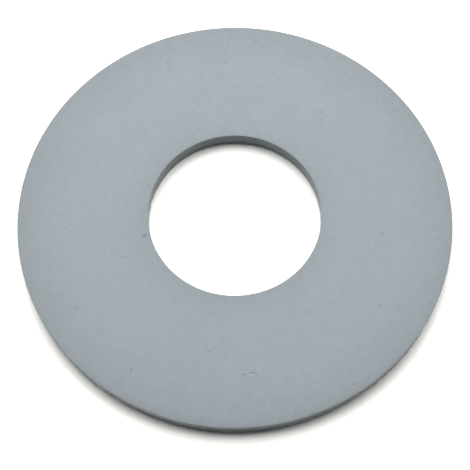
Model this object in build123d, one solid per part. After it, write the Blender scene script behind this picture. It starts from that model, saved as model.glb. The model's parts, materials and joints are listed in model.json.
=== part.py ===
"""Flat sealing washer: one plain ring of grey rubber, the kind that seals a valve or a stem.

The ring lies on its lower seating face. The frame's origin is where the bore's axis meets that
face, and +Z runs along the bore's axis, out of the upper seating face. Sizes are in millimetres.

The washer is a single moulding: it has no insert, layer or moving piece, so it is one solid.
"""

from build123d import *
import os

# Driving dimensions.
OUTER_DIAMETER = 60.0
BORE_DIAMETER = 24.0
THICKNESS = 2.5

# The four arrises of the ring, where a wall turns into a seating face. The upper two are sharp,
# where the mould parted, and the lower two are as round as the corners of its cavity.
RIM_UPPER_RADIUS = 0.05
RIM_LOWER_RADIUS = 0.5
BORE_UPPER_RADIUS = 0.05
BORE_LOWER_RADIUS = 0.25


def ring_section() -> Sketch:
    """The ring's cross-section right of the axis, drawn with x as the radius and y as the height."""
    bore_wall = BORE_DIAMETER / 2
    rim_wall = OUTER_DIAMETER / 2
    section = Polygon(
        (bore_wall, 0),
        (rim_wall, 0),
        (rim_wall, THICKNESS),
        (bore_wall, THICKNESS),
        align=None,
    )
    corner_radii = {
        (bore_wall, 0): BORE_LOWER_RADIUS,
        (rim_wall, 0): RIM_LOWER_RADIUS,
        (rim_wall, THICKNESS): RIM_UPPER_RADIUS,
        (bore_wall, THICKNESS): BORE_UPPER_RADIUS,
    }
    for corner, radius in corner_radii.items():
        arris = section.vertices().sort_by_distance((*corner, 0))[0]
        section = fillet(arris, radius)
    return section


def sealing_washer() -> Part:
    """The section on the XZ plane, turned a full circle about the bore's axis."""
    washer = revolve(Plane.XZ * ring_section(), axis=Axis.Z)
    washer.label = "sealing_washer"
    return washer


os.makedirs("parts", exist_ok=True)
export_step(sealing_washer(), "parts/sealing_washer.step")
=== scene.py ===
import json
import math

import bmesh
import bpy
from mathutils import Matrix, Vector, kdtree, noise


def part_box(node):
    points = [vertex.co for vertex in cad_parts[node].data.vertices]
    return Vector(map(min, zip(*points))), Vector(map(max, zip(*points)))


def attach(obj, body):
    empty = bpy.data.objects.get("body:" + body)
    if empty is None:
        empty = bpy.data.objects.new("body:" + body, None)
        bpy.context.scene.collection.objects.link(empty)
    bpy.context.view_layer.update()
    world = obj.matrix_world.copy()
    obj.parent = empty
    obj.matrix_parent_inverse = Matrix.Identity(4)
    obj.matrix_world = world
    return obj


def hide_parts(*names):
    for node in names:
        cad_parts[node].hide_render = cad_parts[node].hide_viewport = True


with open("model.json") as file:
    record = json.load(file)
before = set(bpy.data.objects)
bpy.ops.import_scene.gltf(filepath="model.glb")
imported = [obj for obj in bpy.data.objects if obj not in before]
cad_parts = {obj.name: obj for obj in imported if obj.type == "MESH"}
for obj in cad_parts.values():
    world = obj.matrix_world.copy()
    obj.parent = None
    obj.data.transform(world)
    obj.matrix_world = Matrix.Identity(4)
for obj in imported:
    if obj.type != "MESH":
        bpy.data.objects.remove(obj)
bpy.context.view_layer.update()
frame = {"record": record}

MM = 0.001

# ---- What the frame gives: the washer's own sizes --------------------------------------------

NODE = "sealing_washer"
low_corner, high_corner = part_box(NODE)
mounts = {mount["name"]: mount for mount in frame["record"]["mounts"]}

RIM_RADIUS = (high_corner.x - low_corner.x) / 2
BORE_RADIUS = mounts["bore"]["dims"]["r_mm"] * MM
THICKNESS = high_corner.z
# The bore's wall is straight from its lower arris to its upper one.
straight_middle = mounts["bore"]["pos_m"][2]
straight_half = mounts["bore"]["dims"]["length_mm"] / 2 * MM
BORE_LOWER_RADIUS = straight_middle - straight_half
BORE_UPPER_RADIUS = THICKNESS - straight_middle - straight_half
# The rim has the bore's sharp upper arris, and a lower arris of its own, which no mount gives.
RIM_UPPER_RADIUS = BORE_UPPER_RADIUS
RIM_LOWER_RADIUS = 0.5 * MM

# ---- The ring's own small shapes -------------------------------------------------------------

# How finely the mesh is divided round the ring, across a face, up a wall and over an arris.
SEGMENTS = 360
FACE_RINGS = 44
WALL_RINGS = 8
ARRIS_STEPS = 7
# The upper face falls away a little towards the rim, where the moulding shrank.
ROLL_WIDTH = 1.1 * MM
ROLL_DEPTH = 0.033 * MM
# The faces wander by about a hundredth of a millimetre, as soft rubber does.
SWELL_HEIGHT = 0.012 * MM
SWELL_LENGTH = 11 * MM
SWELL_SEED = Vector((3.1, 7.7, 1.9))

# Nicks and scratches of the upper face: centre x and y, length and width in mm, turn in degrees,
# and depth as a share of the deepest. One that stands up has a depth below 0.
NICKS = [
    # beside the bore, the deepest
    (-12.4, -3.3, 0.68, 0.36, 45, 1.0),
    # pits across the face, and burrs beside two of them
    (-17.8, -0.6, 0.50, 0.34, 0, 0.42),
    (-17.6, -1.2, 0.35, 0.25, 0, 0.25),
    (-17.4, -0.8, 0.30, 0.20, 0, -0.25),
    (-23.4, -2.0, 0.42, 0.36, 60, 0.40),
    (-22.8, -1.5, 0.40, 0.24, 0, 0.45),
    (-22.6, -2.0, 0.35, 0.20, -20, 0.25),
    (-23.1, -1.6, 0.30, 0.20, 45, -0.25),
    (-21.4, -13.6, 0.45, 0.34, 0, 0.4),
    (-3.7, -19.8, 0.44, 0.34, 0, 0.55),
    (14.3, -11.7, 0.45, 0.30, 0, 0.55),
    (19.2, -13.8, 0.55, 0.40, 0, 0.45),
    (15.2, -24.5, 0.40, 0.28, 0, 0.8),
    (17.2, -23.7, 0.32, 0.22, 0, 0.4),
    (20.2, -3.4, 0.45, 0.32, 90, 0.65),
    (12.5, 15.5, 0.64, 0.48, 0, 0.75),
    (-1.1, 24.0, 0.60, 0.42, 0, 0.60),
    # scratches of the near half, and last a burr beside them
    (-14.9, -6.3, 1.20, 0.22, 0, 0.35),
    (-13.9, -22.3, 0.60, 0.34, 70, 0.6),
    (-13.6, -22.0, 0.60, 0.26, 30, 0.35),
    (0.4, -22.2, 0.60, 0.26, -20, 0.28),
    (0.9, -22.4, 0.50, 0.24, -30, 0.40),
    (0.8, -23.0, 0.52, 0.32, -20, 0.60),
    (1.9, -22.8, 0.80, 0.34, 0, 0.55),
    (2.5, -23.05, 0.60, 0.32, -45, 0.55),
    (2.0, -23.2, 0.50, 0.24, 0, -0.20),
]
NICK_LAYER = "nick"
NICK_DEPTH = 0.06 * MM
# A nick ends at this many of its half lengths and widths. Its floor is flat up to that less 1.
NICK_REACH = 1.3
NICK_CUTS = 7
# The mesh is divided finely this far past a nick's ends.
NICK_MARGIN = 0.6 * MM
# A nick's outline wanders, in waves of this size, by up to about this much.
NICK_RAGGED_SIZE, NICK_RAGGED = 0.16 * MM, 0.07 * MM
NICK_SEED = 1

# ---- Rubber ----------------------------------------------------------------------------------

# Colours are linear. A contrast is a share of the colour, and a relief is a height.
RUBBER_COLOUR = (0.354, 0.412, 0.448)
RUBBER_IOR = 1.5
CLOUD_SIZE, CLOUD_CONTRAST, CLOUD_OCTAVES = 9 * MM, 0.07, 1
# The mottle is nearly as strong in its fine patches as in its coarse ones.
MOTTLE_SIZE, MOTTLE_CONTRAST, MOTTLE_RELIEF = 0.95 * MM, 0.33, 0.006 * MM
MOTTLE_OCTAVES, MOTTLE_EVENNESS = 2, 0.9
GRAIN_SIZE, GRAIN_CONTRAST, GRAIN_RELIEF, GRAIN_OCTAVES = 0.26 * MM, 0.04, 0.004 * MM, 2
ROUGHNESS, ROUGHNESS_SPREAD, WORN_SMOOTHER = 0.41, 0.20, 0.06
SPECK_SPACING, SPECK_RADIUS, SPECK_SHARE = 1.5 * MM, 0.16 * MM, 0.10
SPECK_CONTRAST, SPECK_RELIEF = 0.05, 0.005 * MM
NICK_CONTRAST = 0.28
# Painted shade darkens the face from these radii outwards and inwards, slowly at first. At the rim
# the same span also makes the rubber a little smoother.
RIM_SHADE_AND_WEAR_FROM, RIM_SHADE_AND_WEAR_CURVE, RIM_SHADE = 0.73 * RIM_RADIUS, 1.6, 0.192
BORE_SHADE_FROM, BORE_SHADE_CURVE, BORE_SHADE = 0.56 * RIM_RADIUS, 2.0, 0.113
TURNING_SPACING, TURNING_RELIEF, TURNING_OCTAVES = 0.22 * MM, 0.006 * MM, 2

# ---- Camera ----------------------------------------------------------------------------------

# Blender takes the sensor and the lens in millimetres.
SENSOR_WIDTH = 36.0
LENS = 86.62
CAMERA_ELEVATION = math.radians(67.77)
CAMERA_ROLL = math.radians(-0.81)
CAMERA_DISTANCE = 155.0 * MM
LOOK_AT = Vector((0, -3.25 * MM, THICKNESS))
CLIP_START = 1 * MM

# ---- Light -----------------------------------------------------------------------------------

# A long soft box hangs level over the table, from above the washer to far behind it.
LAMP_PLACE = Vector((-24, 1109, 604)) * MM
LAMP_WIDTH, LAMP_DEPTH = 887 * MM, 2165 * MM
LAMP_WATTS = 16.7
FILL_STRENGTH = 0.003
FLOOR_SIZE = 700 * MM
# The floor's tone for the light that it throws back, and as the eye sees it: round the washer, and
# out at the floor's edges, where less light falls.
FLOOR_TONE, FLOOR_TONE_SEEN, FLOOR_TONE_FAR = 0.46, 2.24, 14.0
# The tone rises from this far out.
FLOOR_RISE_FROM = 2 * RIM_RADIUS
FLOOR_TINT = (1.0, 0.99, 0.945)


# ---- The ring's mesh -------------------------------------------------------------------------

def arris(wall, face, rounding, first_turn):
    """Points (radius, height) of the quarter turn between a wall and a face, anticlockwise."""
    centre_radius = wall - rounding if wall == RIM_RADIUS else wall + rounding
    centre_height = face - rounding if face == THICKNESS else face + rounding
    turns = [first_turn + step / ARRIS_STEPS * math.pi / 2 for step in range(ARRIS_STEPS + 1)]
    return [
        (centre_radius + rounding * math.cos(turn), centre_height + rounding * math.sin(turn))
        for turn in turns
    ]


def between(start, end, count):
    """The points strictly between two others, evenly spaced."""
    steps = [step / (count + 1) for step in range(1, count + 1)]
    return [(start[0] + (end[0] - start[0]) * t, start[1] + (end[1] - start[1]) * t) for t in steps]


def ring_profile():
    """The section's closed outline, anticlockwise from the rim's lower arris."""
    arcs = [
        arris(RIM_RADIUS, 0.0, RIM_LOWER_RADIUS, -math.pi / 2),
        arris(RIM_RADIUS, THICKNESS, RIM_UPPER_RADIUS, 0),
        arris(BORE_RADIUS, THICKNESS, BORE_UPPER_RADIUS, math.pi / 2),
        arris(BORE_RADIUS, 0.0, BORE_LOWER_RADIUS, math.pi),
    ]
    runs = [WALL_RINGS, FACE_RINGS, WALL_RINGS, FACE_RINGS]
    outline = []
    for index, (arc, run) in enumerate(zip(arcs, runs)):
        outline += arc
        outline += between(arc[-1], arcs[(index + 1) % len(arcs)][0], run)
    return outline


def settled(radius, height, angle):
    """Where a point of the ideal ring lies on the real one."""
    middle = THICKNESS / 2
    side = (height - middle) / middle
    roll = max(0.0, 1 - (RIM_RADIUS - radius) / ROLL_WIDTH)
    height -= ROLL_DEPTH * roll ** 2 * max(0.0, side)
    place = Vector((radius * math.cos(angle), radius * math.sin(angle), height))
    swell = noise.noise(place / SWELL_LENGTH + SWELL_SEED)
    # The swell is taken inwards only, so that the ring stays inside its nominal box.
    height -= SWELL_HEIGHT * (1 + swell) / 2 * side
    return Vector((place.x, place.y, height))


def refine_round_nicks(shape):
    """Divides the upper face finely where a nick is, so that the nick can be a real dent."""
    upper = [vert for vert in shape.verts if vert.co.z > THICKNESS / 2]
    tree = kdtree.KDTree(len(upper))
    for index, vert in enumerate(upper):
        tree.insert(vert.co, index)
    tree.balance()
    edges = set()
    for x, y, length, *_ in NICKS:
        reach = length / 2 * MM + NICK_MARGIN
        near = {upper[index] for _, index, _ in tree.find_range((x * MM, y * MM, THICKNESS), reach)}
        edges |= {edge for vert in near for edge in vert.link_edges if edge.other_vert(vert) in near}
    bmesh.ops.subdivide_edges(shape, edges=list(edges), cuts=NICK_CUTS, use_grid_fill=True)
    # A face beside a divided one has many points along a straight side.
    beside = [face for face in shape.faces if len(face.verts) > 4]
    bmesh.ops.triangulate(shape, faces=beside, ngon_method="BEAUTY")


def nick_share(place):
    """How deep the nicks are at a place on the upper face, as a share of the deepest."""
    ragged = noise.noise_vector(place / NICK_RAGGED_SIZE) * NICK_RAGGED
    x, y = place.x + ragged.x, place.y + ragged.y
    share = 0.0
    for nick_x, nick_y, length, width, turn, depth in NICKS:
        aside = Vector((x - nick_x * MM, y - nick_y * MM))
        if aside.length < length * MM:
            aside.rotate(Matrix.Rotation(-math.radians(turn), 2))
            out = math.hypot(aside.x / (length / 2 * MM), aside.y / (width / 2 * MM))
            share += depth * min(1.0, max(0.0, NICK_REACH - out))
    return share


def press_nicks(shape):
    """Presses the nicks into the upper face, and keeps how deep they are for the material."""
    # Unseeded, noise_vector starts from the clock, and every run has other outlines.
    noise.seed_set(NICK_SEED)
    shares = shape.verts.layers.float.new(NICK_LAYER)
    for vert in shape.verts:
        if vert.co.z > THICKNESS / 2:
            vert[shares] = nick_share(vert.co)
            # A burr stops at the nominal face.
            vert.co.z = min(THICKNESS, vert.co.z - NICK_DEPTH * vert[shares])


def washer_ring():
    """The ring as one closed mesh: its section, turned about the axis, settled and nicked."""
    outline = ring_profile()
    shape = bmesh.new()
    rings = []
    for segment in range(SEGMENTS):
        angle = 2 * math.pi * segment / SEGMENTS
        rings.append([shape.verts.new(settled(r, z, angle)) for r, z in outline])
    for segment, ring in enumerate(rings):
        following = rings[(segment + 1) % SEGMENTS]
        for point in range(len(outline)):
            after = (point + 1) % len(outline)
            shape.faces.new((ring[point], following[point], following[after], ring[after]))
    bmesh.ops.recalc_face_normals(shape, faces=shape.faces)
    refine_round_nicks(shape)
    press_nicks(shape)
    mesh = bpy.data.meshes.new("washer_ring")
    shape.to_mesh(mesh)
    shape.free()
    mesh.shade_smooth()
    ring = bpy.data.objects.new("washer_ring", mesh)
    bpy.context.scene.collection.objects.link(ring)
    return ring


# ---- Materials -------------------------------------------------------------------------------

class Nodes:
    """The node tree of a material or world, with short calls to add and join its nodes."""

    def __init__(self, owner):
        owner.use_nodes = True
        self.tree = owner.node_tree
        self.tree.nodes.clear()

    def add(self, kind, inputs=None, **settings):
        node = self.tree.nodes.new(kind)
        for name, value in settings.items():
            setattr(node, name, value)
        for name, value in (inputs or {}).items():
            if isinstance(value, bpy.types.NodeSocket):
                self.tree.links.new(value, node.inputs[name])
            else:
                node.inputs[name].default_value = value
        return node

    def math(self, operation, first, second):
        return self.add("ShaderNodeMath", {0: first, 1: second}, operation=operation).outputs[0]

    def power(self, value, exponent):
        return self.math("POWER", value, exponent)

    def span(self, value, zero_at, one_at, low=0.0, high=1.0):
        """Rises evenly from low to high between two values, and stays level past them."""
        node = self.add(
            "ShaderNodeMapRange",
            {"Value": value, "From Min": zero_at, "From Max": one_at, "To Min": low, "To Max": high},
        )
        return node.outputs["Result"]

    def length(self, vector):
        return self.add("ShaderNodeVectorMath", {0: vector}, operation="LENGTH").outputs["Value"]

    def noise(self, place, size, detail, roughness=0.5):
        node = self.add(
            "ShaderNodeTexNoise",
            {"Vector": place, "Scale": 1 / size, "Detail": detail, "Roughness": roughness},
        )
        return node.outputs["Fac"]

    def centred(self, value):
        """A noise, which lies about 0.5, brought to lie about 0."""
        return self.math("SUBTRACT", value, 0.5)

    def toned(self, colour, tone):
        """A colour, made lighter or darker by a tone."""
        node = self.add("ShaderNodeVectorMath", {0: colour, "Scale": tone}, operation="SCALE")
        return node.outputs["Vector"]

    def total(self, start, *terms):
        """start plus each value times its weight."""
        for value, weight in terms:
            start = self.add(
                "ShaderNodeMath", {0: value, 1: weight, 2: start}, operation="MULTIPLY_ADD"
            ).outputs[0]
        return start


def rubber():
    """Matt moulded rubber: a faint bloom over the compound's grain, with painted shade darkening it
    towards rim and bore.
    """
    material = bpy.data.materials.new("grey_rubber")
    nodes = Nodes(material)
    place = nodes.add("ShaderNodeTexCoord").outputs["Object"]
    across = nodes.add("ShaderNodeSeparateXYZ", {0: place}).outputs
    flat = nodes.add("ShaderNodeCombineXYZ", {"X": across["X"], "Y": across["Y"]}).outputs[0]
    radius = nodes.length(flat)

    cloud = nodes.noise(place, CLOUD_SIZE, detail=CLOUD_OCTAVES)
    mottle = nodes.noise(place, MOTTLE_SIZE, detail=MOTTLE_OCTAVES, roughness=MOTTLE_EVENNESS)
    grain = nodes.noise(place, GRAIN_SIZE, detail=GRAIN_OCTAVES)
    specks = speck_mask(nodes, place)
    nicks = nodes.add("ShaderNodeAttribute", attribute_name=NICK_LAYER).outputs["Fac"]

    # Tone is 1 in the face's middle. Painted shade lowers it towards rim and bore, and it falls
    # where a nick took the bloom off.
    rim_shade_and_wear = nodes.power(nodes.span(radius, RIM_SHADE_AND_WEAR_FROM, RIM_RADIUS), RIM_SHADE_AND_WEAR_CURVE)
    bore_shade = nodes.power(nodes.span(radius, BORE_SHADE_FROM, BORE_RADIUS), BORE_SHADE_CURVE)
    tone = nodes.total(
        1.0,
        (rim_shade_and_wear, -RIM_SHADE),
        (bore_shade, -BORE_SHADE),
        (nodes.centred(cloud), CLOUD_CONTRAST),
        (nodes.centred(mottle), MOTTLE_CONTRAST),
        (nodes.centred(grain), GRAIN_CONTRAST),
        (specks, -SPECK_CONTRAST),
        (nicks, -NICK_CONTRAST),
    )

    roughness = nodes.total(
        ROUGHNESS, (nodes.centred(mottle), ROUGHNESS_SPREAD), (rim_shade_and_wear, -WORN_SMOOTHER)
    )
    height = nodes.total(
        0.0,
        (nodes.centred(mottle), MOTTLE_RELIEF),
        (nodes.centred(grain), GRAIN_RELIEF),
        (specks, -SPECK_RELIEF),
        (turning_lines(nodes, radius, across["Z"]), TURNING_RELIEF),
    )
    bump = nodes.add("ShaderNodeBump", {"Strength": 1.0, "Distance": 1.0, "Height": height})

    shader = nodes.add(
        "ShaderNodeBsdfPrincipled",
        {
            "Base Color": nodes.toned(RUBBER_COLOUR, tone),
            "Roughness": roughness,
            "IOR": RUBBER_IOR,
            "Normal": bump.outputs["Normal"],
        },
    )
    nodes.add("ShaderNodeOutputMaterial", {"Surface": shader.outputs["BSDF"]})
    return material


def speck_mask(nodes, place):
    """1 in a few tiny pits and flecks of darker filler, scattered over the whole ring."""
    cells = nodes.add("ShaderNodeTexVoronoi", {"Vector": place, "Scale": 1 / SPECK_SPACING})
    chosen = nodes.add("ShaderNodeSeparateColor", {0: cells.outputs["Color"]}).outputs
    near = nodes.span(cells.outputs["Distance"], SPECK_RADIUS / SPECK_SPACING, 0.0)
    rare = nodes.math("GREATER_THAN", chosen["Red"], 1 - SPECK_SHARE)
    strength = nodes.math("MULTIPLY", near, chosen["Green"])
    return nodes.math("MULTIPLY", strength, rare)


def turning_lines(nodes, radius, height):
    """Faint lines round both walls, taken over from the turned mould; none on the faces."""
    level = nodes.add("ShaderNodeCombineXYZ", {"Z": height}).outputs[0]
    lines = nodes.noise(level, TURNING_SPACING, detail=TURNING_OCTAVES)
    rim = nodes.span(radius, RIM_RADIUS - RIM_UPPER_RADIUS, RIM_RADIUS)
    bore = nodes.span(radius, BORE_RADIUS + BORE_UPPER_RADIUS, BORE_RADIUS)
    return nodes.math("MULTIPLY", nodes.centred(lines), nodes.math("MAXIMUM", rim, bore))


def seen_directly(nodes):
    """1 for what the camera, a reflection or a clear body sees, and 0 for what only gives light."""
    path = nodes.add("ShaderNodeLightPath").outputs
    seen = nodes.math("MAXIMUM", path["Is Camera Ray"], path["Is Glossy Ray"])
    return nodes.math("MAXIMUM", seen, path["Is Transmission Ray"])


def floor_material():
    """White to the eye out to its edges, with the washer's shadow kept as a share of it."""
    material = bpy.data.materials.new("studio_floor")
    nodes = Nodes(material)
    away = nodes.length(nodes.add("ShaderNodeTexCoord").outputs["Object"])
    seen_tone = nodes.span(away, FLOOR_RISE_FROM, FLOOR_SIZE / 2, FLOOR_TONE_SEEN, FLOOR_TONE_FAR)
    tone = nodes.span(seen_directly(nodes), 0.0, 1.0, FLOOR_TONE, seen_tone)
    surface = nodes.add("ShaderNodeBsdfDiffuse", {"Color": nodes.toned(FLOOR_TINT, tone)})
    nodes.add("ShaderNodeOutputMaterial", {"Surface": surface.outputs["BSDF"]})
    return material


# ---- Floor, light and camera -----------------------------------------------------------------

def add_floor():
    """A plain square that the washer lies on."""
    half = FLOOR_SIZE / 2
    mesh = bpy.data.meshes.new("floor")
    corners = [(-half, -half, 0), (half, -half, 0), (half, half, 0), (-half, half, 0)]
    mesh.from_pydata(corners, [], [(0, 1, 2, 3)])
    mesh.materials.append(floor_material())
    floor = bpy.data.objects.new("floor", mesh)
    bpy.context.scene.collection.objects.link(floor)


def add_soft_box():
    """The one lamp, which shines straight down."""
    lamp = bpy.data.lights.new("soft_box", "AREA")
    lamp.shape = "RECTANGLE"
    lamp.size, lamp.size_y = LAMP_WIDTH, LAMP_DEPTH
    lamp.energy = LAMP_WATTS
    box = bpy.data.objects.new("soft_box", lamp)
    box.location = LAMP_PLACE
    bpy.context.scene.collection.objects.link(box)


def add_world():
    """A weak white fill from all round, which the eye sees as plain white."""
    world = bpy.data.worlds.new("studio")
    nodes = Nodes(world)
    strength = nodes.span(seen_directly(nodes), 0.0, 1.0, FILL_STRENGTH, 1.0)
    background = nodes.add("ShaderNodeBackground", {"Color": (1, 1, 1, 1), "Strength": strength})
    nodes.add("ShaderNodeOutputWorld", {"Surface": background.outputs["Background"]})
    bpy.context.scene.world = world


def add_camera():
    """The photograph's view: from in front and high above, turned a little to one side."""
    camera_data = bpy.data.cameras.new("camera")
    camera_data.sensor_width = SENSOR_WIDTH
    camera_data.lens = LENS
    camera_data.clip_start = CLIP_START
    camera = bpy.data.objects.new("camera", camera_data)
    tilt = Matrix.Rotation(math.pi / 2 - CAMERA_ELEVATION, 4, "X")
    roll = Matrix.Rotation(CAMERA_ROLL, 4, "Z")
    back = Vector((0, -math.cos(CAMERA_ELEVATION), math.sin(CAMERA_ELEVATION)))
    camera.matrix_world = Matrix.Translation(LOOK_AT + back * CAMERA_DISTANCE) @ tilt @ roll
    bpy.context.scene.collection.objects.link(camera)
    bpy.context.scene.camera = camera


washer = washer_ring()
washer.data.materials.append(rubber())
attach(washer, "root")
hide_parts(NODE)

add_floor()
add_soft_box()
add_world()
add_camera()
bpy.context.scene.view_settings.view_transform = "Standard"
